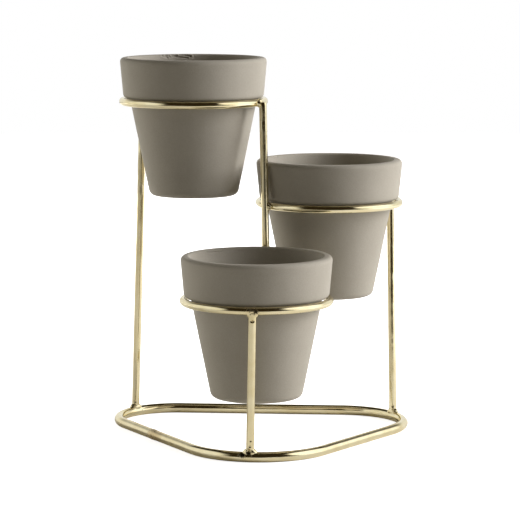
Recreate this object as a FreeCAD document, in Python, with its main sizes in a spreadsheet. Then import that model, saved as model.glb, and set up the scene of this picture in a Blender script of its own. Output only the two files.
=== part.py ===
import FreeCAD, Part
import math
import os
import re
import Sketcher

# Herb planter: three collared pots hanging in a welded wire stand.
# Millimetres. +Z is up, -Y is the front, and the origin is the middle of the footprint on the table.

DOC = FreeCAD.newDocument("herb_planter")
ORIGIN = FreeCAD.Vector(0, 0, 0)

# Driving sizes. Lengths are millimetres, names that end in _angle or _lean are degrees.
SIZES = {
    # One pot, alike in all three places
    "rim_diameter": 58.25,
    "pot_height": 54.5,
    "collar_height": 16.0,
    "collar_taper": 1.425,
    "collar_step": 2.5,
    "rim_wall": 3.625,
    "base_diameter": 34.8,
    "base_wall": 3.2,
    "floor_thickness": 5.0,
    "lip_outer_rounding": 1.7,
    "lip_inner_rounding": 1.0,
    "collar_foot_rounding": 1.8,
    "neck_rounding": 0.8,
    "base_rounding": 2.4,
    "cavity_floor_rounding": 3.0,
    "foot_width": 4.9,
    "foot_recess_depth": 0.6,
    "drain_hole_diameter": 8.0,
    # How high each pot's rim stands over the table
    "top_rim_height": 148.0,
    "middle_rim_height": 107.5,
    "front_rim_height": 75.0,
    # Wires, and how they meet
    "wire_diameter": 3.0,
    "base_wire_diameter": 4.0,
    "seat_clearance": 0.35,
    "rod_clearance": 0.15,
    "rod_set_down": 0.15,
    "leg_notch_depth": 0.7,
    # The centre rod: where it stands at the reference height, its lean, its ends past the rings
    "rod_x": 2.55,
    "rod_y": 6.02,
    "rod_reference_height": 105.0,
    "rod_lean": 1.15,
    "rod_end_reach": 0.5,
    # Direction of each ring's centre from the rod, seen from above
    "top_ring_angle": 157.0,
    "middle_ring_angle": 38.0,
    "front_ring_angle": 267.0,
    # The base loop's three bends, at the wire's centre line
    "back_bar_y": 45.92,
    "left_bend_x": -34.75,
    "left_bend_radius": 22.5,
    "right_bend_x": 31.75,
    "right_bend_radius": 25.5,
    "front_bend_x": 2.55,
    "front_bend_y": -19.48,
    "front_bend_radius": 29.7,
    # Where each leg leaves its ring, and where it stands on its bend
    "left_leg_top_angle": 142.5,
    "left_leg_foot_angle": 142.5,
    "right_leg_top_angle": 30.5,
    "right_leg_foot_angle": 34.0,
    "front_leg_top_angle": 271.2,
    "front_leg_foot_angle": 267.5,
    # Weld beads: half lengths along the main wire, across it and upwards
    "leg_weld_length": 2.8,
    "leg_weld_width": 1.75,
    "leg_weld_rise": 1.6,
    "foot_weld_length": 2.7,
    "foot_weld_width": 1.9,
    "foot_weld_rise": 1.7,
    "rod_weld_length": 2.1,
    "rod_weld_width": 1.4,
    "rod_weld_rise": 2.0,
    # Butt weld of the base loop: whole length, rise over the wire, place along the left run
    "butt_weld_length": 2.4,
    "butt_weld_bulge": 0.1,
    "butt_weld_share": 0.45,
}

# Sizes that follow from the driving ones
DERIVED = {
    "collar_foot_diameter": "rim_diameter - 2 * collar_taper",
    "neck_diameter": "collar_foot_diameter - 2 * collar_step",
    "mouth_diameter": "rim_diameter - 2 * rim_wall",
    "cavity_floor_diameter": "base_diameter - 2 * base_wall",
    "foot_recess_diameter": "base_diameter - 2 * foot_width",
    "wire_radius": "wire_diameter / 2",
    "base_wire_radius": "base_wire_diameter / 2",
    "rod_offset": "rim_diameter / 2 + rod_clearance + wire_radius",
    "ring_radius": "rod_offset - wire_diameter + rod_set_down",
    "collar_arc_radius": "collar_foot_diameter / 2 - collar_foot_rounding",
    "seat_reach": "collar_foot_rounding + wire_radius + seat_clearance",
    "seat_drop": "sqrt(seat_reach ^ 2 - (ring_radius - collar_arc_radius) ^ 2)",
    "ring_drop": "collar_height - collar_foot_rounding + seat_drop",
    "rod_slope": "tan(rod_lean)",
    "left_bend_y": "back_bar_y - left_bend_radius",
    "right_bend_y": "back_bar_y - right_bend_radius",
}
# The base loop's straight runs, each from one bend to the next, counter-clockwise from above
RUNS = {"left_run": ("left", "front"), "right_run": ("front", "right"), "back_run": ("right", "left")}
for run, (first, second) in RUNS.items():
    DERIVED[f"{run}_dx"] = f"{second}_bend_x - {first}_bend_x"
    DERIVED[f"{run}_dy"] = f"{second}_bend_y - {first}_bend_y"
    DERIVED[f"{run}_span"] = f"sqrt({run}_dx ^ 2 + {run}_dy ^ 2)"
    DERIVED[f"{run}_narrowing"] = f"({first}_bend_radius - {second}_bend_radius) / {run}_span"
    DERIVED[f"{run}_side"] = f"sqrt(1 - {run}_narrowing ^ 2)"
    DERIVED[f"{run}_out_x"] = f"({run}_dx * {run}_narrowing + {run}_dy * {run}_side) / {run}_span"
    DERIVED[f"{run}_out_y"] = f"({run}_dy * {run}_narrowing - {run}_dx * {run}_side) / {run}_span"
    for end, side in (("start", first), ("end", second)):
        DERIVED[f"{run}_{end}_x"] = f"{side}_bend_x + {side}_bend_radius * {run}_out_x"
        DERIVED[f"{run}_{end}_y"] = f"{side}_bend_y + {side}_bend_radius * {run}_out_y"
DERIVED["butt_weld_radius"] = "base_wire_radius + butt_weld_bulge"
DERIVED["butt_weld_run_x"] = "left_run_end_x - left_run_start_x"
DERIVED["butt_weld_run_y"] = "left_run_end_y - left_run_start_y"
DERIVED["butt_weld_x"] = "left_run_start_x + butt_weld_share * butt_weld_run_x"
DERIVED["butt_weld_y"] = "left_run_start_y + butt_weld_share * butt_weld_run_y"
for level in ("top", "middle", "front"):
    DERIVED[f"{level}_ring_height"] = f"{level}_rim_height - ring_drop"
    DERIVED[f"{level}_rod_x"] = f"rod_x + rod_slope * (rod_reference_height - {level}_ring_height)"
    DERIVED[f"{level}_ring_x"] = f"{level}_rod_x + rod_offset * cos({level}_ring_angle)"
    DERIVED[f"{level}_ring_y"] = f"rod_y + rod_offset * sin({level}_ring_angle)"
    DERIVED[f"{level}_weld_x"] = f"{level}_rod_x + wire_radius * cos({level}_ring_angle)"
    DERIVED[f"{level}_weld_y"] = f"rod_y + wire_radius * sin({level}_ring_angle)"

# Each leg: the ring that it carries
LEG_RINGS = {"left": "top", "right": "middle", "front": "front"}
for side, level in LEG_RINGS.items():
    leg = f"{side}_leg"
    DERIVED[f"{leg}_top_x"] = f"{level}_ring_x + ring_radius * cos({leg}_top_angle)"
    DERIVED[f"{leg}_top_y"] = f"{level}_ring_y + ring_radius * sin({leg}_top_angle)"
    DERIVED[f"{leg}_top_z"] = f"{level}_ring_height - wire_radius + leg_notch_depth"
    DERIVED[f"{leg}_foot_x"] = f"{side}_bend_x + {side}_bend_radius * cos({leg}_foot_angle)"
    DERIVED[f"{leg}_foot_y"] = f"{side}_bend_y + {side}_bend_radius * sin({leg}_foot_angle)"
    DERIVED[f"{leg}_foot_z"] = "base_wire_diameter - leg_notch_depth"
    DERIVED[f"{leg}_run_x"] = f"{leg}_top_x - {leg}_foot_x"
    DERIVED[f"{leg}_run_y"] = f"{leg}_top_y - {leg}_foot_y"
    DERIVED[f"{leg}_rise"] = f"{leg}_top_z - {leg}_foot_z"
    DERIVED[f"{leg}_run"] = f"sqrt({leg}_run_x ^ 2 + {leg}_run_y ^ 2)"
    DERIVED[f"{leg}_length"] = f"sqrt({leg}_run ^ 2 + {leg}_rise ^ 2)"

sheet = DOC.addObject("Spreadsheet::Sheet", "Sizes")
for row, (name, number) in enumerate(SIZES.items(), start=1):
    sheet.set(f"A{row}", str(number))
    sheet.setAlias(f"A{row}", name)
for row, (name, words) in enumerate(DERIVED.items(), start=1):
    sheet.set(f"B{row}", "=" + words)
    sheet.setAlias(f"B{row}", name)
DOC.recompute()
ALIASES = re.compile(r"\b(" + "|".join(list(SIZES) + list(DERIVED)) + r")\b")


def linked(words):
    """An expression in the sheet's own names, as other objects read it."""
    return ALIASES.sub(r"Sizes.\1", words)


def value(words):
    """The number that an expression in the sheet's names gives."""
    return float(sheet.evalExpression(linked(words)))


def bind(thing, **sizes):
    """Ties properties of an object to the sheet."""
    for name, words in sizes.items():
        thing.setExpression(name, linked(words))


def place(thing, x="0", y="0", z="0", axis=("0", "0", "1"), turn="0"):
    """Ties an object's place to the sheet: a point, and a turn about an axis through it."""
    words = f"placement(vector({x}; {y}; {z}); rotation(vector({axis[0]}; {axis[1]}; {axis[2]}); {turn}))"
    thing.setExpression("Placement", linked(words))


def origin_plane(body, role):
    """A body's own XY, XZ or YZ plane."""
    return next(item for item in body.Origin.OriginFeatures if item.Role == role)


def new_sketch(body, name, role):
    sketch = body.newObject("Sketcher::SketchObject", name)
    sketch.AttachmentSupport = [(origin_plane(body, role), "")]
    sketch.MapMode = "FlatFace"
    return sketch


def fix_point(sketch, geometry, end, x, y):
    """Holds one point of a sketch at a place given in the sheet's names."""
    for kind, words in (("DistanceX", x), ("DistanceY", y)):
        if words == "0":
            line = -2 if kind == "DistanceX" else -1
            sketch.addConstraint(Sketcher.Constraint("PointOnObject", geometry, end, line))
            continue
        row = sketch.addConstraint(Sketcher.Constraint(kind, -1, 1, geometry, end, value(words)))
        sketch.setExpression(f"Constraints[{row}]", linked(words))


def draw_outline(sketch, corners):
    """A closed outline of straight lines through corners given in the sheet's names."""
    points = [FreeCAD.Vector(value(x), value(y), 0) for x, y in corners]
    count = len(points)
    for k in range(count):
        sketch.addGeometry(Part.LineSegment(points[k], points[(k + 1) % count]), False)
    for k in range(count):
        sketch.addConstraint(Sketcher.Constraint("Coincident", k, 2, (k + 1) % count, 1))
    for k, (x, y) in enumerate(corners):
        fix_point(sketch, k, 1, x, y)


def circle_edges(feature, diameter, height):
    """Names of a turned feature's edges that run round at a diameter and height."""
    radius = value(diameter) / 2
    level = value(height)
    near = value("wire_radius") / 100
    found = []
    for k, edge in enumerate(feature.Shape.Edges, start=1):
        curve = edge.Curve
        if isinstance(curve, Part.Circle) and abs(curve.Radius - radius) < near:
            if abs(curve.Center.z - level) < near:
                found.append(f"Edge{k}")
    return found


def round_edges(body, name, rounding, diameter, height):
    """Rounds the edge that runs round the newest feature at a diameter and height."""
    base = body.Tip
    fillet = body.newObject("PartDesign::Fillet", name)
    fillet.Base = (base, circle_edges(base, diameter, height))
    bind(fillet, Radius=rounding)
    DOC.recompute()


# Pots: turned shape with a collar, a tapered body, a hollow and a drain hole
def make_pot(level):
    body = DOC.addObject("PartDesign::Body", f"pot_{level}")
    outline = new_sketch(body, f"pot_{level}_outline", "XZ_Plane")
    collar_underside = "pot_height - collar_height"
    draw_outline(outline, [
        ("0", "foot_recess_depth"),
        ("foot_recess_diameter / 2", "foot_recess_depth"),
        ("foot_recess_diameter / 2", "0"),
        ("base_diameter / 2", "0"),
        ("neck_diameter / 2", collar_underside),
        ("collar_foot_diameter / 2", collar_underside),
        ("rim_diameter / 2", "pot_height"),
        ("mouth_diameter / 2", "pot_height"),
        ("cavity_floor_diameter / 2", "floor_thickness"),
        ("0", "floor_thickness"),
    ])
    turned = body.newObject("PartDesign::Revolution", f"pot_{level}_turned")
    turned.Profile = outline
    turned.ReferenceAxis = (outline, ["V_Axis"])
    turned.Angle = 360
    DOC.recompute()
    hole = new_sketch(body, f"pot_{level}_drain", "XY_Plane")
    hole.addGeometry(Part.Circle(ORIGIN, FreeCAD.Vector(0, 0, 1), value("drain_hole_diameter / 2")), False)
    hole.addConstraint(Sketcher.Constraint("Coincident", 0, 3, -1, 1))
    row = hole.addConstraint(Sketcher.Constraint("Diameter", 0, value("drain_hole_diameter")))
    hole.setExpression(f"Constraints[{row}]", linked("drain_hole_diameter"))
    drain = body.newObject("PartDesign::Pocket", f"pot_{level}_drain_hole")
    drain.Profile = hole
    drain.Reversed = True
    bind(drain, Length="floor_thickness")
    DOC.recompute()
    round_edges(body, f"pot_{level}_lip", "lip_outer_rounding", "rim_diameter", "pot_height")
    round_edges(body, f"pot_{level}_mouth", "lip_inner_rounding", "mouth_diameter", "pot_height")
    round_edges(body, f"pot_{level}_collar", "collar_foot_rounding", "collar_foot_diameter",
                collar_underside)
    round_edges(body, f"pot_{level}_neck", "neck_rounding", "neck_diameter", collar_underside)
    round_edges(body, f"pot_{level}_base", "base_rounding", "base_diameter", "0")
    round_edges(body, f"pot_{level}_floor", "cavity_floor_rounding", "cavity_floor_diameter",
                "floor_thickness")
    place(body, f"{level}_ring_x", f"{level}_ring_y", f"{level}_rim_height - pot_height")
    return body


# Rings: each bent round from thin wire, just under its pot's collar
def make_ring(level):
    ring = DOC.addObject("Part::Torus", f"ring_{level}")
    bind(ring, Radius1="ring_radius", Radius2="wire_radius")
    place(ring, f"{level}_ring_x", f"{level}_ring_y", f"{level}_ring_height")
    return ring


# Base loop: one thick wire with three bends, whose two ends meet at a butt weld
def flat_point(name):
    """A point of the sketch plane whose x and y are in the sheet."""
    return FreeCAD.Vector(value(f"{name}_x"), value(f"{name}_y"), 0)


def bend_arc(side, start, end):
    """The arc of a bend, counter-clockwise from start to end."""
    centre = flat_point(f"{side}_bend")
    whole = Part.Circle(centre, FreeCAD.Vector(0, 0, 1), value(f"{side}_bend_radius"))
    from_angle = math.atan2(start.y - centre.y, start.x - centre.x)
    to_angle = math.atan2(end.y - centre.y, end.x - centre.x)
    if to_angle < from_angle:
        to_angle += 2 * math.pi
    return Part.ArcOfCircle(whole, from_angle, to_angle)


def make_base_wire():
    names = ("left", "front", "right")
    ends = {run: (flat_point(f"{run}_start"), flat_point(f"{run}_end")) for run in RUNS}
    mid_back = FreeCAD.Vector(0, value("back_bar_y"), 0)
    body = DOC.addObject("PartDesign::Body", "base_wire")
    route = new_sketch(body, "base_wire_route", "XY_Plane")
    route.setExpression("AttachmentOffset.Base.z", linked("base_wire_radius"))
    pieces = [
        Part.LineSegment(mid_back, ends["back_run"][1]),
        bend_arc("left", ends["back_run"][1], ends["left_run"][0]),
        Part.LineSegment(*ends["left_run"]),
        bend_arc("front", ends["left_run"][1], ends["right_run"][0]),
        Part.LineSegment(*ends["right_run"]),
        bend_arc("right", ends["right_run"][1], ends["back_run"][0]),
        Part.LineSegment(ends["back_run"][0], mid_back),
    ]
    for piece in pieces:
        route.addGeometry(piece, False)
    for k in range(len(pieces) - 1):
        route.addConstraint(Sketcher.Constraint("Tangent", k, 2, k + 1, 1))
    route.addConstraint(Sketcher.Constraint("Coincident", len(pieces) - 1, 2, 0, 1))
    route.addConstraint(Sketcher.Constraint("PointOnObject", 0, 1, -2))
    route.addConstraint(Sketcher.Constraint("Horizontal", 0))
    for side, geometry in zip(names, (1, 3, 5)):
        fix_point(route, geometry, 3, f"{side}_bend_x", f"{side}_bend_y")
        words = f"{side}_bend_radius"
        row = route.addConstraint(Sketcher.Constraint("Radius", geometry, value(words)))
        route.setExpression(f"Constraints[{row}]", linked(words))
    section = new_sketch(body, "base_wire_section", "YZ_Plane")
    section.addGeometry(Part.Circle(FreeCAD.Vector(value("back_bar_y"), value("base_wire_radius"), 0),
                                    FreeCAD.Vector(0, 0, 1), value("base_wire_radius")), False)
    fix_point(section, 0, 3, "back_bar_y", "base_wire_radius")
    row = section.addConstraint(Sketcher.Constraint("Radius", 0, value("base_wire_radius")))
    section.setExpression(f"Constraints[{row}]", linked("base_wire_radius"))
    DOC.recompute()
    wire = body.newObject("PartDesign::AdditivePipe", "base_wire_pipe")
    wire.Profile = section
    wire.Spine = (route, [f"Edge{k + 1}" for k in range(len(pieces))])
    DOC.recompute()
    return body


def cut(base, tool, name):
    """One solid with another taken out of it."""
    result = DOC.addObject("Part::Cut", name)
    result.Base = base
    result.Tool = tool
    return result


# Butt weld: a short plug of filler between the base wire's two ends
def make_seam_bar(name, radius, height):
    bar = DOC.addObject("Part::Cylinder", name)
    bind(bar, Radius=radius, Height="butt_weld_length")
    heading = "atan2(butt_weld_run_y; butt_weld_run_x)"
    place(bar, f"butt_weld_x - butt_weld_length / 2 * cos({heading})",
          f"butt_weld_y - butt_weld_length / 2 * sin({heading})", height,
          axis=(f"-sin({heading})", f"cos({heading})", "0"), turn="90")
    return bar


# Legs: straight wire, notched to sit under its ring and on the base loop
def make_leg(side, ring, loop):
    leg = f"{side}_leg"
    bar = DOC.addObject("Part::Cylinder", f"{leg}_bar")
    bind(bar, Radius="wire_radius", Height=f"{leg}_length")
    heading = f"atan2({leg}_run_y; {leg}_run_x)"
    place(bar, f"{leg}_foot_x", f"{leg}_foot_y", f"{leg}_foot_z",
          axis=(f"-sin({heading})", f"cos({heading})", "0"), turn=f"atan({leg}_run / {leg}_rise)")
    return cut(cut(bar, ring, f"{leg}_under_ring"), loop, f"leg_{side}")


# Centre rod: leans a little, and each ring is pressed a little way into its side
def make_rod(rings):
    bar = DOC.addObject("Part::Cylinder", "centre_rod_bar")
    bottom = "(front_ring_height - rod_end_reach)"
    rise = "(top_ring_height - front_ring_height + 2 * rod_end_reach)"
    bind(bar, Radius="wire_radius", Height=f"{rise} / cos(rod_lean)")
    place(bar, f"rod_x + rod_slope * (rod_reference_height - {bottom})", "rod_y", bottom,
          axis=("0", "1", "0"), turn="-rod_lean")
    notched = cut(bar, rings["top"], "centre_rod_top_notch")
    notched = cut(notched, rings["middle"], "centre_rod_middle_notch")
    return cut(notched, rings["front"], "centre_rod")


# Weld beads: a lump of filler round each joint, hollow where the wires pass through it
def make_bead(name, size, at, turn, wires):
    lump = DOC.addObject("Part::Ellipsoid", f"{name}_lump")
    bind(lump, Radius1=f"{size}_weld_rise", Radius2=f"{size}_weld_length", Radius3=f"{size}_weld_width")
    place(lump, *at, turn=turn)
    inner = cut(lump, wires[0], f"{name}_beside")
    return cut(inner, wires[1], name)


def make_leg_beads(side, level, leg, ring, loop):
    words = f"{side}_leg"
    top = (f"{words}_top_x", f"{words}_top_y", f"{level}_ring_height - wire_radius")
    foot = (f"{words}_foot_x", f"{words}_foot_y", "base_wire_diameter")
    return [
        make_bead(f"weld_leg_{side}_top", "leg", top, f"{words}_top_angle + 90", (ring, leg)),
        make_bead(f"weld_leg_{side}_foot", "foot", foot, f"{words}_foot_angle + 90", (loop, leg)),
    ]


def make_rod_bead(level, rod, ring):
    at = (f"{level}_weld_x", f"{level}_weld_y", f"{level}_ring_height")
    return make_bead(f"weld_rod_{level}", "rod", at, f"{level}_ring_angle + 90", (ring, rod))


loop = cut(make_base_wire(), make_seam_bar("base_seam", "base_wire_diameter", "base_wire_radius"),
           "base_loop")
rings = {level: make_ring(level) for level in ("top", "middle", "front")}
pots = [make_pot(level) for level in rings]
rod = make_rod(rings)
subparts = [loop, rod, *rings.values(), *pots]
for side, level in LEG_RINGS.items():
    leg = make_leg(side, rings[level], loop)
    subparts += [leg, *make_leg_beads(side, level, leg, rings[level], loop)]
subparts += [make_rod_bead(level, rod, ring) for level, ring in rings.items()]
subparts.append(make_seam_bar("weld_base_butt", "butt_weld_radius", "butt_weld_radius"))
DOC.recompute()

for thing in DOC.Objects:
    if "Invalid" in thing.State or "Error" in thing.State:
        raise RuntimeError(f"{thing.Name} did not recompute: {thing.State}")
for thing in subparts:
    thing.Label = thing.Name
    if thing.Shape.isNull() or not thing.Shape.isValid() or not thing.Shape.Solids:
        raise RuntimeError(f"{thing.Name} has no sound solid")

os.makedirs("parts", exist_ok=True)
for thing in subparts:
    thing.Shape.exportStep(f"parts/{thing.Label}.step")
    print(f"{thing.Label}: {len(thing.Shape.Solids)} solid, {thing.Shape.Volume:.1f} mm3")
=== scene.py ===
import math

import bmesh
import bpy
from mathutils import Matrix, Vector, noise


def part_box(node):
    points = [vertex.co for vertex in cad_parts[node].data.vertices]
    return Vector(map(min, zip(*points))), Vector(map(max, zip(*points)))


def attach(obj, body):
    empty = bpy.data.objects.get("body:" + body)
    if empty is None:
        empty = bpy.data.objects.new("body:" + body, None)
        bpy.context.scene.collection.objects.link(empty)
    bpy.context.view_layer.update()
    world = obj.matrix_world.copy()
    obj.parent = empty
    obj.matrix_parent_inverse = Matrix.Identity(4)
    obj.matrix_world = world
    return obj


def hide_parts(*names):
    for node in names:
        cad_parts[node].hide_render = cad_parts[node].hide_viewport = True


# Herb planter: three matte ceramic pots hung by their collars in a stand of gold-plated wire.
# Metres. +Z is up, -Y is the front, and the origin is the middle of the footprint on the table.
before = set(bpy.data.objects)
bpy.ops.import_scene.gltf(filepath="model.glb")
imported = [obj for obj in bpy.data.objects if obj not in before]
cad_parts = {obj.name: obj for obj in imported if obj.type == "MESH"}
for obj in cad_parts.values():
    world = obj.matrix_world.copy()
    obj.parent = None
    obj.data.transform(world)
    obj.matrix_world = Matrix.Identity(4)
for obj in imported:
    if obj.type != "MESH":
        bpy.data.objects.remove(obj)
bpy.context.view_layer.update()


# Base loop: 4 mm metal wire bent round three corners, polished and plated in pale gold.
# It lies flat on the table, and its two ends meet at a butt weld about half way along the left run.
BASE_WIRE = 0.002
LEFT_BEND = Vector((-0.03475, 0.02342, BASE_WIRE))
RIGHT_BEND = Vector((0.03175, 0.02042, BASE_WIRE))
FRONT_BEND = Vector((0.00255, -0.01948, BASE_WIRE))
LEFT_BEND_RADIUS = 0.0225
RIGHT_BEND_RADIUS = 0.0255
FRONT_BEND_RADIUS = 0.0297
# How far along the left run its butt weld is, and the gap that the weld fills.
SEAM_SHARE = 0.45
SEAM_GAP = 0.0024
SECTION_SIDES = 40
BEND_STEP = math.radians(1.25)
SHARP_FROM = math.radians(50)
# The skins stay this far inside the CAD wires, whose outlines are cut a little flat.
SKIN_INSET = 0.000012
# Where the front leg stands on the front bend, in degrees.
FRONT_FOOT_BEARING = 267.5
# Heat tint along the left run: how far past the seam, how far it reaches, how strong.
SEAM_HEAT = [(0.0042, 0.0078, 0.62)]
# Burns beside the front leg's foot: offset from it, reach, how badly.
FOOT_SCORCHES = [((-0.0028, -0.0013, 0.0012), 0.0026, 0.9), ((0.0004, -0.0012, 0.0016), 0.0020, 0.8)]
RUN_STEP = 0.0015
DEEP_GOLD = (0.83, 0.72, 0.43, 1.0)
PALE_GOLD = (0.92, 0.83, 0.56, 1.0)
HEATED_GOLD = (0.50, 0.32, 0.13, 1.0)
# Black for burns and pits; in the weld pits it is partly painted shade in the hollows.
BURN_AND_PIT_BLACK = (0.03, 0.022, 0.012, 1.0)
POLISH_ROUGHNESS = 0.06


def feed(tree, socket, value):
    """Joins a socket to another one, or sets it to a plain value."""
    if isinstance(value, bpy.types.NodeSocket):
        tree.links.new(value, socket)
    else:
        socket.default_value = value


def add_node(tree, kind, **sockets):
    """Adds a node and feeds its sockets, an underscore in a name standing for a space."""
    node = tree.nodes.new(kind)
    for name, value in sockets.items():
        feed(tree, node.inputs[name.replace("_", " ")], value)
    return node


def work_out(tree, operation, *values):
    """The result of a sum on sockets and numbers."""
    node = tree.nodes.new("ShaderNodeMath")
    node.operation = operation
    for socket, value in zip(node.inputs, values):
        feed(tree, socket, value)
    return node.outputs["Value"]


def blend(tree, share, first, second, kind="MIX"):
    """Two colours blended by a share."""
    node = tree.nodes.new("ShaderNodeMix")
    node.data_type = "RGBA"
    node.blend_type = kind
    for name, value in (("Factor", share), ("A", first), ("B", second)):
        feed(tree, node.inputs[name], value)
    return node.outputs["Result"]


def two_tone(tree, value, low, low_colour, high, high_colour):
    """A colour that runs from one tone to another as a value rises."""
    ramp = add_node(tree, "ShaderNodeValToRGB", Fac=value)
    lower, upper = ramp.color_ramp.elements
    lower.position = low
    lower.color = low_colour
    upper.position = high
    upper.color = high_colour
    return ramp.outputs["Color"]


def bump(tree, height, strength, distance, invert=False):
    """A bump that further bumps can be laid over through its Normal socket."""
    node = add_node(tree, "ShaderNodeBump", Height=height, Strength=strength, Distance=distance)
    node.invert = invert
    return node


def marked(tree, trace):
    """How strongly the mesh is marked with a trace."""
    node = tree.nodes.new("ShaderNodeAttribute")
    node.attribute_name = trace
    return node.outputs["Fac"]


def new_material(name):
    """A new material, its tree of nodes and its shader."""
    material = bpy.data.materials.new(name)
    material.use_nodes = True
    tree = material.node_tree
    return material, tree, tree.nodes["Principled BSDF"]


def plated_gold(name, grain, glint_wear, pit_share):
    """Polished gold plating on drawn wire: drawing waves, haze, pits, heat tint, and burns that also
    carry painted shade in the weld pits.
    """
    material, tree, shader = new_material(name)
    shader.inputs["Metallic"].default_value = 1.0
    place = tree.nodes.new("ShaderNodeTexCoord").outputs["Object"]

    clouds = add_node(tree, "ShaderNodeTexNoise", Vector=place, Scale=140.0, Detail=4.0)
    tone = two_tone(tree, clouds.outputs["Fac"], 0.3, DEEP_GOLD, 0.62, PALE_GOLD)

    cells = add_node(tree, "ShaderNodeTexVoronoi", Vector=place, Scale=260.0)
    pit = add_node(tree, "ShaderNodeMapRange", Value=cells.outputs["Distance"],
                   From_Min=0.05, From_Max=0.16, To_Min=1.0, To_Max=0.0)
    chosen = add_node(tree, "ShaderNodeSeparateColor", Color=cells.outputs["Color"])
    rare = work_out(tree, "LESS_THAN", chosen.outputs["Red"], pit_share)
    pits = work_out(tree, "MULTIPLY", pit.outputs["Result"], rare)

    # The burn mark holds real burns and painted shade in the weld pits: brown where faint, black
    # where strong.
    burn_and_pit_shade = marked(tree, "burn_and_pit_shade")
    browned = work_out(tree, "MULTIPLY_ADD", burn_and_pit_shade, 0.35, marked(tree, "heat_tint"))
    heated = blend(tree, browned, tone, HEATED_GOLD)
    scale = add_node(tree, "ShaderNodeTexNoise", Vector=place, Scale=2400.0, Detail=4.0)
    ragged = work_out(tree, "ADD", scale.outputs["Fac"], burn_and_pit_shade)
    black = add_node(tree, "ShaderNodeMapRange", Value=ragged, From_Min=0.96, From_Max=1.16)
    worst = work_out(tree, "MAXIMUM", black.outputs["Result"], pits)
    burnt_and_pit_blackened = blend(tree, worst, heated, BURN_AND_PIT_BLACK)
    tree.links.new(burnt_and_pit_blackened, shader.inputs["Base Color"])

    haze = add_node(tree, "ShaderNodeTexNoise", Vector=place, Scale=grain, Detail=6.0)
    gloss = add_node(tree, "ShaderNodeMapRange", Value=haze.outputs["Fac"],
                     To_Min=POLISH_ROUGHNESS, To_Max=POLISH_ROUGHNESS + glint_wear)
    dull = work_out(tree, "MULTIPLY_ADD", burn_and_pit_shade, 0.4, gloss.outputs["Result"])
    tree.links.new(dull, shader.inputs["Roughness"])

    waves = add_node(tree, "ShaderNodeTexNoise", Vector=place, Scale=160.0, Detail=1.0)
    drawn = bump(tree, waves.outputs["Fac"], strength=0.35, distance=0.0003)
    dented = bump(tree, pits, strength=0.6, distance=0.0002, invert=True)
    tree.links.new(drawn.outputs["Normal"], dented.inputs["Normal"])
    tree.links.new(dented.outputs["Normal"], shader.inputs["Normal"])
    return material


def near(distance, reach):
    """1 at a spot, falling smoothly to 0 at its reach."""
    share = min(distance / reach, 1.0)
    return (1 - share * share) ** 2


def mark(bm, trace, spots):
    """Marks the plating's burns or heat tint about each spot: where, how far, how badly."""
    layer = bm.verts.layers.float.new(trace)
    for vert in bm.verts:
        for spot, reach, badly in spots:
            vert[layer] = max(vert[layer], badly * near((vert.co - spot).length, reach))


def around(spot, marks):
    """Puts marks in place about a spot, each given by offset, reach and strength."""
    return [(spot + Vector(offset), reach, badly) for offset, reach, badly in marks]


def past_seam(marks):
    """Puts marks in place along the left run, each given by its distance past the seam."""
    return [(seam + along_left * past, reach, badly) for past, reach, badly in marks]


def sink_pits(bm, pits):
    """Sinks a pit in the skin at each spot: where, how wide, how deep."""
    bmesh.ops.recalc_face_normals(bm, faces=bm.faces)
    bm.normal_update()
    for vert in bm.verts:
        inward = -vert.normal
        for spot, reach, depth in pits:
            vert.co += inward * depth * near((vert.co - spot).length, reach)


def wire_end(bm, centre, heading, radius):
    """The round section that a wire starts from, square to its heading."""
    turn = heading.to_track_quat("Z", "Y").to_matrix().to_4x4()
    made = bmesh.ops.create_circle(bm, segments=SECTION_SIDES, radius=radius,
                                   matrix=Matrix.Translation(centre) @ turn)
    edges = dict.fromkeys(edge for vert in made["verts"] for edge in vert.link_edges)
    return made["verts"] + list(edges)


def run_straight(bm, section, travel, step=RUN_STEP):
    """Draws a section on along a straight line, and gives back the section at its end."""
    steps = max(1, round(travel.length / step))
    made = bmesh.ops.spin(bm, geom=section, cent=Vector(), axis=Vector((0, 0, 1)),
                          dvec=travel / steps, angle=0.0, steps=steps)
    return made["geom_last"]


def run_round(bm, section, centre, angle):
    """Draws a section on round an upright axis, and gives back the section at its end."""
    steps = max(1, round(abs(angle) / BEND_STEP))
    made = bmesh.ops.spin(bm, geom=section, cent=centre, axis=Vector((0, 0, 1)),
                          angle=angle, steps=steps)
    return made["geom_last"]


def close_ends(bm):
    """Caps every open end."""
    rims = [edge for edge in bm.edges if edge.is_boundary]
    bmesh.ops.holes_fill(bm, edges=rims, sides=0)


def finish_piece(name, bm, material, slot, body, *nodes):
    """Makes a smooth-shaded piece that rides on a body and stands for its CAD nodes."""
    bmesh.ops.recalc_face_normals(bm, faces=bm.faces)
    mesh = bpy.data.meshes.new(name)
    bm.to_mesh(mesh)
    bm.free()
    mesh.shade_smooth()
    mesh.set_sharp_from_angle(angle=SHARP_FROM)
    mesh.materials.append(material)
    piece = bpy.data.objects.new(name, mesh)
    bpy.context.scene.collection.objects.link(piece)
    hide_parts(*nodes)
    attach(piece, body)


def outward_bearing(first, first_radius, second, second_radius):
    """The bearing that a straight run between two bends faces, the bends taken counter-clockwise."""
    between = second - first
    lean = math.asin((first_radius - second_radius) / between.length)
    return math.atan2(between.y, between.x) - math.pi / 2 + lean


def on_bend(centre, radius, bearing):
    """The point of a bend that lies at a bearing from its centre."""
    return centre + radius * Vector((math.cos(bearing), math.sin(bearing), 0))


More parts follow.
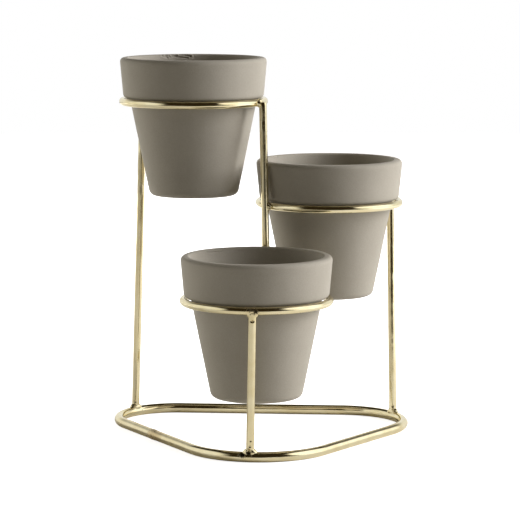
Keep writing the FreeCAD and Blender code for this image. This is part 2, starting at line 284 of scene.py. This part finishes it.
gold = plated_gold("gold_plating", grain=900.0, glint_wear=0.1, pit_share=0.02)
left_facing = outward_bearing(LEFT_BEND, LEFT_BEND_RADIUS, FRONT_BEND, FRONT_BEND_RADIUS)
right_facing = outward_bearing(FRONT_BEND, FRONT_BEND_RADIUS, RIGHT_BEND, RIGHT_BEND_RADIUS)
back_facing = outward_bearing(RIGHT_BEND, RIGHT_BEND_RADIUS, LEFT_BEND, LEFT_BEND_RADIUS)
left_run_start = on_bend(LEFT_BEND, LEFT_BEND_RADIUS, left_facing)
left_run_end = on_bend(FRONT_BEND, FRONT_BEND_RADIUS, left_facing)
left_run = left_run_end - left_run_start
along_left = left_run.normalized()
seam = left_run_start + SEAM_SHARE * left_run
half_gap = SEAM_GAP / 2 * along_left
right_run = (on_bend(RIGHT_BEND, RIGHT_BEND_RADIUS, right_facing)
             - on_bend(FRONT_BEND, FRONT_BEND_RADIUS, right_facing))
back_run = (on_bend(LEFT_BEND, LEFT_BEND_RADIUS, back_facing)
            - on_bend(RIGHT_BEND, RIGHT_BEND_RADIUS, back_facing))
bm = bmesh.new()
section = wire_end(bm, seam + half_gap, left_run, BASE_WIRE - SKIN_INSET)
section = run_straight(bm, section, left_run_end - seam - half_gap)
section = run_round(bm, section, FRONT_BEND, (right_facing - left_facing) % math.tau)
section = run_straight(bm, section, right_run)
section = run_round(bm, section, RIGHT_BEND, (back_facing - right_facing) % math.tau)
section = run_straight(bm, section, back_run)
section = run_round(bm, section, LEFT_BEND, (left_facing - back_facing) % math.tau)
run_straight(bm, section, seam - half_gap - left_run_start)
close_ends(bm)
front_foot = on_bend(FRONT_BEND, FRONT_BEND_RADIUS, math.radians(FRONT_FOOT_BEARING))
mark(bm, "heat_tint", past_seam(SEAM_HEAT))
mark(bm, "burn_and_pit_shade", around(front_foot, FOOT_SCORCHES))
finish_piece("base_wire", bm, gold, "gold_wire", "stand", "base_loop")


# Rings: 3 mm wire bent into a full circle just under each pot's collar, same plating.
# The collar hangs on the ring with about 0.3 mm to spare.
WIRE = 0.0015
RING_STEPS = 288
LEVELS = ("top", "middle", "front")
# Burns by a weld: the bearing of the weld on each ring, then offset from it, reach, how badly.
SCORCH_BEARINGS = {"top": 337.0, "middle": 218.0, "front": 271.2}
RING_SCORCHES = [((0.0013, 0, -0.0002), 0.0021, 0.8), ((-0.0012, 0, 0.0006), 0.0024, 0.62)]
rings = {}
for level in LEVELS:
    low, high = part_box(f"ring_{level}")
    rings[level] = (low + high) / 2
    ring_radius = (high.x - low.x) / 2 - WIRE
    bm = bmesh.new()
    start = rings[level] + Vector((ring_radius, 0, 0))
    section = wire_end(bm, start, Vector((0, 1, 0)), WIRE - SKIN_INSET)
    bmesh.ops.spin(bm, geom=section, cent=rings[level], axis=Vector((0, 0, 1)), angle=math.tau,
                   steps=RING_STEPS, use_merge=True)
    scorch = on_bend(rings[level], ring_radius + WIRE, math.radians(SCORCH_BEARINGS[level]))
    mark(bm, "burn_and_pit_shade", around(scorch, RING_SCORCHES))
    finish_piece(f"{level}_ring", bm, gold, "gold_wire", "stand", f"ring_{level}")


# Legs: straight 3 mm wire, one from under each ring down to the outer bend of the base loop.
# Each end is set a little into the wire that it is welded to.
LEG_SINK = 0.0007
# Each leg: its ring, the bearing of its weld there, the bend it stands on, and the bearing there.
LEGS = {
    "left": ("top", 142.5, LEFT_BEND, LEFT_BEND_RADIUS, 142.5),
    "right": ("middle", 30.5, RIGHT_BEND, RIGHT_BEND_RADIUS, 34.0),
    "front": ("front", 271.2, FRONT_BEND, FRONT_BEND_RADIUS, FRONT_FOOT_BEARING),
}
# Pits left by the welding: height on the leg, offset across it, reach and depth.
SIDE_PITS = [(0.0062, 0.0, 0.00045, 0.00025)]
LEG_PITS = {
    "left": SIDE_PITS,
    "right": SIDE_PITS,
    "front": [(0.0542, 0.00055, 0.0006, 0.0005), (0.0541, 0.00015, 0.0006, 0.0006),
              (0.0542, -0.00025, 0.0006, 0.0005), (0.0085, 0.0003, 0.00045, 0.00035),
              (0.0064, 0.00005, 0.0006, 0.0005), (0.0046, -0.0004, 0.0011, 0.0009)],
}
# A pit is painted black a little past its edge: painted shade in the hollow, along with the burn.
PIT_SHADE_AND_BURN = 1.1
# The mesh is finer along this much of each end, where the pits are.
LEG_ENDS = 0.007
FINE_STEP = 0.00022
legs = {}
pits = {}
for side, (level, ring_angle, bend, bend_radius, bend_angle) in LEGS.items():
    head = on_bend(rings[level], ring_radius, math.radians(ring_angle))
    head -= Vector((0, 0, WIRE - LEG_SINK))
    foot = on_bend(bend, bend_radius, math.radians(bend_angle))
    foot += Vector((0, 0, BASE_WIRE - LEG_SINK))
    legs[side] = (head, foot)
    rise = (head - foot).normalized()
    pits[side] = []
    for height, across, reach, depth in LEG_PITS[side]:
        spot = foot + rise * (height - foot.z) / rise.z + Vector((across, -WIRE, 0))
        pits[side].append((spot, reach, depth))
    bm = bmesh.new()
    section = wire_end(bm, foot, rise, WIRE)
    section = run_straight(bm, section, rise * LEG_ENDS, FINE_STEP)
    section = run_straight(bm, section, head - foot - rise * 2 * LEG_ENDS)
    run_straight(bm, section, rise * LEG_ENDS, FINE_STEP)
    close_ends(bm)
    sink_pits(bm, pits[side])
    # Each pit is painted black a little past its edge, as painted shade along with the burn.
    mark(bm, "burn_and_pit_shade", [(spot, reach * PIT_SHADE_AND_BURN, 1.0) for spot, reach, depth in pits[side]])
    finish_piece(f"{side}_leg", bm, gold, "gold_wire", "stand", f"leg_{side}")


# Centre rod: 3 mm wire that ties the three rings together, with a slight lean to the left.
# Each ring is welded to its side, and its ends are cut off just past the outer rings.
ROD_LEAN = math.radians(1.15)
ROD_END_ROUNDING = 0.0004
rod_low, rod_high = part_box("centre_rod")
end_lift = math.sin(ROD_LEAN) * WIRE
rod_run = Vector((-math.tan(ROD_LEAN), 0, 1)) * (rod_high.z - rod_low.z - 2 * end_lift)
rod_foot = Vector((rod_high.x - WIRE, (rod_low.y + rod_high.y) / 2, rod_low.z + end_lift))
bm = bmesh.new()
section = wire_end(bm, rod_foot, rod_run, WIRE)
run_straight(bm, section, rod_run)
rims = [edge for edge in bm.edges if edge.is_boundary]
close_ends(bm)
bmesh.ops.bevel(bm, geom=rims, offset=ROD_END_ROUNDING, segments=4, profile=0.5, affect="EDGES",
                material=-1)
finish_piece("rod", bm, gold, "gold_wire", "stand", "centre_rod")


# Welds: a small web of filler at each joint, melted into both wires and plated over with them.
# Each is one skin over stubs of the two wires and a drop between them, softened where they meet.
WELD_GRAIN = 0.00013
WELD_SOFTENING = 14
# The stubs stay this far inside the wires, so that only the web between them shows.
STUB_INSET = 0.00002
STUB_LENGTH = 0.0044
STUB_STEPS = 16
RING_STUB_REACH = 0.005
BASE_STUB_REACH = 0.0055
ROD_RING_STUB_REACH = 0.0045
# Half length, half width and half rise of the drops, and how far past a leg's end they sit.
TOP_DROP = (0.0022, 0.0015, 0.0016)
FOOT_DROP = (0.0028, 0.0018, 0.0017)
ROD_DROP = (0.0019, 0.0013, 0.0018)
DROP_SHIFT = 0.0005
# Burns on the welds: offset from the leg's end, reach, how badly. The front leg's are the worst.
TOP_BURNS = {
    "front": [((0.0012, -0.0015, 0.0008), 0.0020, 0.75), ((-0.0014, -0.0013, 0.0014), 0.0017, 0.6)],
    "side": [((0.0012, -0.0015, 0.0008), 0.0020, 0.4), ((-0.0014, -0.0013, 0.0014), 0.0017, 0.6)],
}
FOOT_BURNS = {
    "front": [((-0.0004, -0.0017, 0.0003), 0.0019, 0.95),
              ((-0.0026, -0.0010, -0.0004), 0.0018, 0.85)],
    "side": [((-0.0004, -0.0017, 0.0003), 0.0019, 0.45),
             ((-0.0026, -0.0010, -0.0004), 0.0018, 0.4)],
}
weld_gold = plated_gold("weld_plating", grain=1400.0, glint_wear=0.2, pit_share=0.12)


def tube_stub(bm, centre, heading, radius, length):
    """A short stub of straight wire about a point, its ends left open."""
    heading = heading.normalized()
    section = wire_end(bm, centre - heading * length / 2, heading, radius)
    run_straight(bm, section, heading * length, length)


def ring_stub(bm, centre, radius, wire, bearing, reach):
    """A short stub of a bent wire about a bearing, its ends left open."""
    half = reach / radius
    start = on_bend(centre, radius, bearing - half)
    heading = Vector((-math.sin(bearing - half), math.cos(bearing - half), 0))
    section = wire_end(bm, start, heading, wire)
    bmesh.ops.spin(bm, geom=section, cent=centre, axis=Vector((0, 0, 1)), angle=2 * half,
                   steps=STUB_STEPS)


def drop(bm, centre, bearing, length, width, rise):
    """A drop of filler, long along one bearing."""
    place = Matrix.Translation(centre) @ Matrix.Rotation(bearing, 4, "Z")
    bmesh.ops.create_uvsphere(bm, u_segments=24, v_segments=16, radius=1.0,
                              matrix=place @ Matrix.Diagonal((length, width, rise, 1)))


def melt_together(name, bm, node, pits, burns):
    """Melts the stubs and drops into one softened skin, with its pits, painted shade in them, and
    burns.
    """
    close_ends(bm)
    bmesh.ops.recalc_face_normals(bm, faces=bm.faces)
    mesh = bpy.data.meshes.new(f"{name}_stubs")
    bm.to_mesh(mesh)
    bm.free()
    stubs = bpy.data.objects.new(f"{name}_stubs", mesh)
    bpy.context.scene.collection.objects.link(stubs)
    skin = stubs.modifiers.new("skin", "REMESH")
    skin.mode = "VOXEL"
    skin.voxel_size = WELD_GRAIN
    soften = stubs.modifiers.new("soften", "SMOOTH")
    soften.factor = 0.5
    soften.iterations = WELD_SOFTENING
    depsgraph = bpy.context.evaluated_depsgraph_get()
    melted = bpy.data.meshes.new_from_object(stubs.evaluated_get(depsgraph))
    bpy.data.objects.remove(stubs)
    bm = bmesh.new()
    bm.from_mesh(melted)
    bpy.data.meshes.remove(melted)
    sink_pits(bm, pits)
    # Each pit is painted black a little past its edge, as painted shade along with the burn.
    mark(bm, "burn_and_pit_shade", [(spot, reach * PIT_SHADE_AND_BURN, 1.0) for spot, reach, depth in pits] + burns)
    finish_piece(name, bm, weld_gold, "weld_metal", "stand", node)


for side, (level, ring_angle, bend, bend_radius, bend_angle) in LEGS.items():
    head, foot = legs[side]
    lean = (head - foot).normalized()
    burnt = "front" if side == "front" else "side"
    bearing = math.radians(ring_angle)
    bm = bmesh.new()
    ring_stub(bm, rings[level], ring_radius, WIRE - STUB_INSET, bearing, RING_STUB_REACH)
    tube_stub(bm, head - lean * STUB_LENGTH / 2, lean, WIRE - STUB_INSET, STUB_LENGTH)
    drop(bm, head - lean * DROP_SHIFT, bearing + math.pi / 2, *TOP_DROP)
    burns = around(head, TOP_BURNS[burnt])
    melt_together(f"{side}_leg_top_weld", bm, f"weld_leg_{side}_top", pits[side], burns)
    bearing = math.radians(bend_angle)
    bm = bmesh.new()
    ring_stub(bm, bend, bend_radius, BASE_WIRE - STUB_INSET, bearing, BASE_STUB_REACH)
    tube_stub(bm, foot + lean * STUB_LENGTH / 2, lean, WIRE - STUB_INSET, STUB_LENGTH)
    drop(bm, foot + lean * DROP_SHIFT, bearing + math.pi / 2, *FOOT_DROP)
    burns = around(foot, FOOT_BURNS[burnt])
    melt_together(f"{side}_leg_foot_weld", bm, f"weld_leg_{side}_foot", pits[side], burns)

# At each ring: the bearing from the rod to its middle, the shift of the rod's stub, its length.
ROD_WELDS = {"top": (157.0, -0.0017, STUB_LENGTH), "middle": (38.0, 0.0, 0.006),
             "front": (267.0, 0.0017, STUB_LENGTH)}
# The stubs of ring and rod are set this far into each other, and each weld has one pit.
ROD_SINK = 0.00015
ROD_PIT = ((0.0011, -0.0011, 0.0008), 0.0006, 0.0003)
for level, (bearing, shift, length) in ROD_WELDS.items():
    back = math.radians(bearing) + math.pi
    touch = on_bend(rings[level], ring_radius + WIRE, back)
    rod_spot = on_bend(rings[level], ring_radius + 2 * WIRE - ROD_SINK, back)
    rise = rod_run.normalized()
    bm = bmesh.new()
    ring_stub(bm, rings[level], ring_radius, WIRE - STUB_INSET, back, ROD_RING_STUB_REACH)
    tube_stub(bm, rod_spot + rise * shift, rise, WIRE - STUB_INSET, length)
    drop(bm, touch, back + math.pi / 2, *ROD_DROP)
    melt_together(f"{level}_rod_weld", bm, f"weld_rod_{level}", around(touch, [ROD_PIT]), [])


# Butt weld: a plug of filler that joins the two ends of the base loop, ground nearly flush.
# It is plated over like the wire, a little rougher, and browned by the heat.
PLUG_LENGTH = 0.0052
PLUG_BULGE = 0.00009
PLUG_STEPS = 40
PLUG_SWELL = 0.6
PLUG_LUMPS = 2200
PLUG_HEAT = [(0.0012, PLUG_LENGTH, 0.55)]
PLUG_BURNS = [(-0.0010, 0.0042, 0.64), (0.0018, 0.0042, 0.64)]
bm = bmesh.new()
section = wire_end(bm, seam - along_left * PLUG_LENGTH / 2, left_run, BASE_WIRE)
run_straight(bm, section, along_left * PLUG_LENGTH, PLUG_LENGTH / PLUG_STEPS)
close_ends(bm)
mark(bm, "heat_tint", past_seam(PLUG_HEAT))
mark(bm, "burn_and_pit_shade", past_seam(PLUG_BURNS))
for vert in bm.verts:
    share = (vert.co - seam).dot(along_left) / (PLUG_LENGTH / 2)
    radial = vert.co - seam - along_left * share * PLUG_LENGTH / 2
    swell = PLUG_BULGE * (1 - share ** 2) * (PLUG_SWELL + noise.noise(vert.co * PLUG_LUMPS))
    vert.co += radial.normalized() * swell
    vert.co.z = max(vert.co.z, SKIN_INSET)
finish_piece("base_butt_weld", bm, weld_gold, "weld_metal", "stand", "weld_base_butt")


# Pots: slip-cast ceramic in one colour all through, matte, with a deep collar and a drain hole.
# Each hangs by its collar in its ring and lifts out by hand.
POT_HEIGHT = 0.0545
MOUTH_RADIUS = 0.0255
POT_CORNERS = [
    # radius, height, rounding
    (0.0040, 0.0050, 0.0004),
    (0.0142, 0.0050, 0.0030),
    (MOUTH_RADIUS, POT_HEIGHT, 0.0010),
    (0.029125, POT_HEIGHT, 0.0017),
    (0.0277, 0.0385, 0.0018),
    (0.0252, 0.0385, 0.0008),
    (0.0174, 0.0000, 0.0024),
    (0.0125, 0.0000, 0.0003),
    (0.0125, 0.0006, 0.0002),
    (0.0040, 0.0006, 0.0003),
]
POT_STEPS = 176
WALL_STEP = 0.0014
HAND_WAVER = 0.00007
WAVER_SCALE = 70
DARK_CLAY = (0.314, 0.286, 0.231, 1.0)
LIGHT_CLAY = (0.355, 0.324, 0.266, 1.0)


def scaled(tree, colour, share):
    """A colour made darker or lighter by a share."""
    node = add_node(tree, "ShaderNodeVectorMath")
    node.operation = "SCALE"
    feed(tree, node.inputs[0], colour)
    feed(tree, node.inputs["Scale"], share)
    return node.outputs["Vector"]


def matte_ceramic(name):
    """Taupe ceramic: even colour with faint clouds, a powdery grain and soft unevenness."""
    material, tree, shader = new_material(name)
    shader.inputs["Specular IOR Level"].default_value = 0.35
    place = tree.nodes.new("ShaderNodeTexCoord").outputs["Object"]

    clouds = add_node(tree, "ShaderNodeTexNoise", Vector=place, Scale=55.0, Detail=5.0, Roughness=0.6)
    tone = two_tone(tree, clouds.outputs["Fac"], 0.25, DARK_CLAY, 0.75, LIGHT_CLAY)
    speckle = add_node(tree, "ShaderNodeTexNoise", Vector=place, Scale=2600.0, Detail=2.0)
    fleck = add_node(tree, "ShaderNodeMapRange", Value=speckle.outputs["Fac"],
                     From_Min=0.3, From_Max=0.7, To_Min=0.94, To_Max=1.05)
    tree.links.new(scaled(tree, tone, fleck.outputs["Result"]), shader.inputs["Base Color"])

    rub = add_node(tree, "ShaderNodeMapRange", Value=clouds.outputs["Fac"], To_Min=0.52, To_Max=0.68)
    tree.links.new(rub.outputs["Result"], shader.inputs["Roughness"])

    ripple = add_node(tree, "ShaderNodeTexNoise", Vector=place, Scale=210.0, Detail=3.0)
    settled = bump(tree, ripple.outputs["Fac"], strength=0.2, distance=0.0003)
    powder = bump(tree, speckle.outputs["Fac"], strength=0.25, distance=0.00005)
    tree.links.new(settled.outputs["Normal"], powder.inputs["Normal"])
    tree.links.new(powder.outputs["Normal"], shader.inputs["Normal"])
    return material


def pot_outline(bm):
    """The pot's wall cut through on one side, with its corners rounded."""
    corners = [bm.verts.new((radius, 0, height)) for radius, height, rounding in POT_CORNERS]
    for first, second in zip(corners, corners[1:] + corners[:1]):
        bm.edges.new((first, second))
    for vert, (radius, height, rounding) in zip(corners, POT_CORNERS):
        arms = [edge.other_vert(vert).co - vert.co for edge in vert.link_edges]
        reach = rounding / math.tan(arms[0].angle(arms[1]) / 2)
        bmesh.ops.bevel(bm, geom=[vert], offset=reach, segments=7, profile=0.5, affect="VERTICES",
                        material=-1)
    for edge in list(bm.edges):
        cuts = int(edge.calc_length() / WALL_STEP)
        if cuts:
            bmesh.ops.subdivide_edges(bm, edges=[edge], cuts=cuts)


# Marks left in the wet clay inside each mouth: lines of points (degrees right of the far side,
# millimetres below the rim), each with the width and depth of the line in millimetres.
CLAY_MARKS = {
    "top": [
        ([(-14.5, 0.2), (-9.0, 0.55), (-3.8, 1.0)], 0.30, 0.48),
        ([(-22.5, 0.3), (-17.0, 0.7)], 0.26, 0.34),
        ([(-24.5, 0.75), (-17.0, 1.05), (-11.0, 1.35), (-6.8, 1.6)], 0.28, 0.42),
        ([(-31.5, 0.5), (-26.0, 1.4)], 0.34, 0.26),
        ([(-28.5, 0.4), (-23.5, 1.2)], 0.30, 0.22),
        ([(-2.6, 0.95), (-2.2, 1.0)], 0.22, -0.16),
    ],
    "middle": [([(-60.0, 1.2), (-56.0, 0.9), (-53.0, 0.3)], 0.26, 0.14)],
    "front": [([(-50.0, 0.9), (-44.0, 1.25), (-38.0, 1.3), (-32.0, 0.95), (-29.0, 0.2)], 0.25, 0.24)],
}
MM_PER_METRE = 1000
# The mesh is made fine this far down and in from the rim, and this far (radians) past the marks.
MARKED_DEPTH = 3.0
LIP_REACH = 0.0012
MARK_MARGIN = 0.1
FINE_CUTS = 5
# The clay pushed up along a line: its share of the depth, and how many widths from the middle.
RIDGE_SHARE = 0.35
RIDGE_PLACE = 1.9
# The camera's bearing from the front, which the marks are placed by.
VIEW_BEARING = math.radians(4.257)


def from_line(spot, line):
    """The distance of a spot from a line of points, in the plane."""
    best = math.inf
    for start, end in zip(line, line[1:]):
        run = end - start
        share = max(0.0, min(1.0, (spot - start).dot(run) / run.length_squared))
        best = min(best, (spot - start - share * run).length)
    return best


def score_clay(bm, centre, top, marks):
    """Scores the marks into the inside of a pot's mouth, after making the mesh fine there."""
    far_side = math.pi / 2 + VIEW_BEARING
    leftmost = min(math.radians(line[0][0]) for line, width, depth in marks) - MARK_MARGIN
    rightmost = max(math.radians(line[-1][0]) for line, width, depth in marks) + MARK_MARGIN

    def unrolled(vert):
        """Where a point lies on the wall laid flat (millimetres), and whether it is near a mark."""
        spot = vert.co - centre
        bearing = far_side - math.atan2(spot.y, spot.x)
        across = bearing * MOUTH_RADIUS * MM_PER_METRE
        down = (top - vert.co.z) * MM_PER_METRE
        inside = spot.xy.length < MOUTH_RADIUS + LIP_REACH and down < MARKED_DEPTH
        return Vector((across, down)), inside and leftmost < bearing < rightmost

    chosen = {vert for vert in bm.verts if unrolled(vert)[1]}
    edges = [edge for edge in bm.edges if edge.verts[0] in chosen and edge.verts[1] in chosen]
    bmesh.ops.subdivide_edges(bm, edges=edges, cuts=FINE_CUTS, use_grid_fill=True)
    bm.normal_update()
    lines = [([Vector((math.radians(x) * MOUTH_RADIUS * MM_PER_METRE, y)) for x, y in line], width,
              depth) for line, width, depth in marks]
    for vert in bm.verts:
        flat, near_mark = unrolled(vert)
        if not near_mark:
            continue
        inward = -vert.normal.copy()
        for line, width, depth in lines:
            away = from_line(flat, line) / width
            ridge = RIDGE_SHARE * math.exp(-(away - RIDGE_PLACE) ** 2)
            vert.co += inward * depth / MM_PER_METRE * (math.exp(-away ** 2) - ridge)
        vert.co.z = min(vert.co.z, top - SKIN_INSET)


ceramic = matte_ceramic("taupe_ceramic")
for level in LEVELS:
    low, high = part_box(f"pot_{level}")
    centre = (low + high) / 2
    bm = bmesh.new()
    pot_outline(bm)
    bmesh.ops.spin(bm, geom=bm.verts[:] + bm.edges[:], cent=Vector(), axis=Vector((0, 0, 1)),
                   angle=math.tau, steps=POT_STEPS, use_merge=True)
    bmesh.ops.translate(bm, verts=bm.verts, vec=(centre.x, centre.y, low.z))
    bmesh.ops.recalc_face_normals(bm, faces=bm.faces)
    bm.normal_update()
    for vert in bm.verts:
        waver = 0.5 + 0.5 * noise.noise(vert.co * WAVER_SCALE)
        vert.co -= vert.normal * HAND_WAVER * waver
    score_clay(bm, centre, low.z + POT_HEIGHT, CLAY_MARKS[level])
    finish_piece(f"{level}_pot", bm, ceramic, "coloured_ceramic", f"{level}_pot", f"pot_{level}")


# Table: a white sheet that falls off into the dark in front, with a faint shadow on it.
# The camera sees it as white, and the wires reflect it.
TABLE_RADIUS = 1.5
TABLE_SIDES = 96
# The middle of the dark in front, as the wires mirror it.
SHADED_BEARING = 11
SHADED_DISTANCE = 1.0
REFLECTED_WHITE = (0.82, 0.80, 0.75)
# The sheet as the camera sees it, with a glow of its own that keeps it white.
SEEN_WHITE = (0.88, 0.88, 0.88, 1.0)
SEEN_GLOW = 0.79
PURE_WHITE = (1.0, 1.0, 1.0, 1.0)


def studio_point(bearing, height, distance):
    """A point round the planter: bearing 0 is towards the camera, 90 is to its right."""
    turn = math.radians(bearing) + VIEW_BEARING
    return Vector((math.sin(turn) * distance, -math.cos(turn) * distance, height))


def fade(tree, value, low, high, start, end):
    """A smooth fade from a start to an end, while a value rises from low to high."""
    ramp = add_node(tree, "ShaderNodeMapRange", Value=value,
                    From_Min=low, From_Max=high, To_Min=start, To_Max=end)
    ramp.interpolation_type = "SMOOTHSTEP"
    return ramp.outputs["Result"]


def measured(tree, operation, first, second):
    """One number out of two vectors, such as the distance between them."""
    node = add_node(tree, "ShaderNodeVectorMath")
    node.operation = operation
    feed(tree, node.inputs[0], first)
    feed(tree, node.inputs[1], second)
    return node.outputs["Value"]


bm = bmesh.new()
bmesh.ops.create_circle(bm, cap_ends=True, segments=TABLE_SIDES, radius=TABLE_RADIUS)
mesh = bpy.data.meshes.new("table")
bm.to_mesh(mesh)
bm.free()
table = bpy.data.objects.new("table", mesh)
bpy.context.scene.collection.objects.link(table)
paper, tree, shader = new_material("white_paper")
shader.inputs["Roughness"].default_value = 0.9
shader.inputs["Emission Color"].default_value = PURE_WHITE
spot = tree.nodes.new("ShaderNodeTexCoord").outputs["Object"]
distance = measured(tree, "DISTANCE", spot, studio_point(SHADED_BEARING, 0, SHADED_DISTANCE))
shade = fade(tree, distance, low=0.40, high=0.58, start=0.07, end=1.0)
seen = tree.nodes.new("ShaderNodeLightPath").outputs["Is Camera Ray"]
white = blend(tree, seen, scaled(tree, REFLECTED_WHITE, shade), SEEN_WHITE)
tree.links.new(white, shader.inputs["Base Color"])
tree.links.new(work_out(tree, "MULTIPLY", seen, SEEN_GLOW), shader.inputs["Emission Strength"])
table.data.materials.append(paper)


# Studio: a large softbox at the right, a weaker one behind at the left, and one low at the back.
# The room is white behind the planter and at its left, bright at its right, and else dark.
SOFTBOX_AIM = Vector((0, 0, 0.07))
# Each softbox: its bearing, rise and distance, its width and height, its watts and its tint.
SOFTBOXES = {
    "right_softbox": (92, 0.47, 0.92, 0.6, 0.7, 13.9, (1.0, 1.015, 1.085)),
    "left_softbox": (-118, 0.16, 1.0, 0.6, 0.3, 4.2, (1.0, 1.0, 1.0)),
    "back_softbox": (180, 0.38, 1.0, 0.9, 0.3, 5.6, (1.0, 1.0, 1.0)),
}
DARK_ROOM = (0.024, 0.017, 0.007, 1.0)
WHITE_WALL = (1.0, 1.0, 0.97, 1.0)
WALL_SHARE = 0.85
WINDOW_LIGHT = (1.3, 1.3, 1.32, 1.0)
ROOM_ON_MATTE = (0.62, 0.583, 0.52, 1.0)
# Where the walls and the window face from: bearing, and rise for each metre of distance.
BACK_WALL_AT = (180, 0)
LEFT_WALL_AT = (-92, 0.18)
WINDOW_AT = (86, 0.5)

# A softbox lights the matte pots only: what the wires mirror is the room below.
for name, (bearing, rise, distance, width, height, watts, tint) in SOFTBOXES.items():
    lamp = bpy.data.lights.new(name, "AREA")
    lamp.shape = "RECTANGLE"
    lamp.size = width
    lamp.size_y = height
    lamp.energy = watts
    lamp.color = tint
    lamp_object = bpy.data.objects.new(name, lamp)
    lamp_place = studio_point(bearing, rise, distance)
    lamp_object.rotation_euler = (SOFTBOX_AIM - lamp_place).to_track_quat("-Z", "Y").to_euler()
    lamp_object.location = lamp_place
    lamp_object.visible_glossy = False
    bpy.context.scene.collection.objects.link(lamp_object)

world = bpy.data.worlds.new("studio")
bpy.context.scene.world = world
world.use_nodes = True
tree = world.node_tree
tree.nodes.clear()
heading = tree.nodes.new("ShaderNodeTexCoord").outputs["Generated"]
to_back_wall = measured(tree, "DOT_PRODUCT", heading, studio_point(*BACK_WALL_AT, 1))
to_left_wall = measured(tree, "DOT_PRODUCT", heading, studio_point(*LEFT_WALL_AT, 1))
to_window = measured(tree, "DOT_PRODUCT", heading, studio_point(*WINDOW_AT, 1))
upward = add_node(tree, "ShaderNodeSeparateXYZ", Vector=heading).outputs["Z"]
back_wall = fade(tree, to_back_wall, low=0.1, high=0.45, start=0.0, end=WALL_SHARE)
left_wall = fade(tree, to_left_wall, low=0.66, high=0.84, start=0.0, end=WALL_SHARE)
window = fade(tree, to_window, low=0.86, high=0.98, start=0.0, end=1.0)
below_ceiling = fade(tree, upward, low=0.3, high=0.65, start=1.0, end=0.0)
low_back = work_out(tree, "MULTIPLY", back_wall, below_ceiling)
walls = blend(tree, work_out(tree, "MAXIMUM", low_back, left_wall), DARK_ROOM, WHITE_WALL)
glazed = blend(tree, window, walls, WINDOW_LIGHT)
ray = tree.nodes.new("ShaderNodeLightPath")
softened = blend(tree, ray.outputs["Is Diffuse Ray"], glazed, ROOM_ON_MATTE, "MULTIPLY")
room = add_node(tree, "ShaderNodeBackground", Color=softened)
backdrop = add_node(tree, "ShaderNodeBackground", Color=PURE_WHITE)
either = add_node(tree, "ShaderNodeMixShader", Fac=ray.outputs["Is Camera Ray"])
tree.links.new(room.outputs["Background"], either.inputs[1])
tree.links.new(backdrop.outputs["Background"], either.inputs[2])
add_node(tree, "ShaderNodeOutputWorld", Surface=either.outputs["Shader"])


# Camera: a long lens a little above the pots and a little to the right of the front.
# Its place was worked out from the outlines of the pots and wires in the photograph.
CAMERA_TARGET = Vector((0.00092, 0.00590, 0.06916))
CAMERA_DISTANCE = 0.97365
CAMERA_ELEVATION = math.radians(7.508)
SENSOR_WIDTH = 36.0
LENS_LENGTH = 171.6
camera = bpy.data.cameras.new("camera")
camera.sensor_width = SENSOR_WIDTH
camera.lens = LENS_LENGTH
camera_object = bpy.data.objects.new("camera", camera)
outward = Vector((math.sin(VIEW_BEARING) * math.cos(CAMERA_ELEVATION),
                  -math.cos(VIEW_BEARING) * math.cos(CAMERA_ELEVATION), math.sin(CAMERA_ELEVATION)))
camera_object.location = CAMERA_TARGET + outward * CAMERA_DISTANCE
camera_object.rotation_euler = (-outward).to_track_quat("-Z", "Y").to_euler()
bpy.context.scene.collection.objects.link(camera_object)
bpy.context.scene.camera = camera_object
bpy.context.scene.view_settings.view_transform = "Standard"
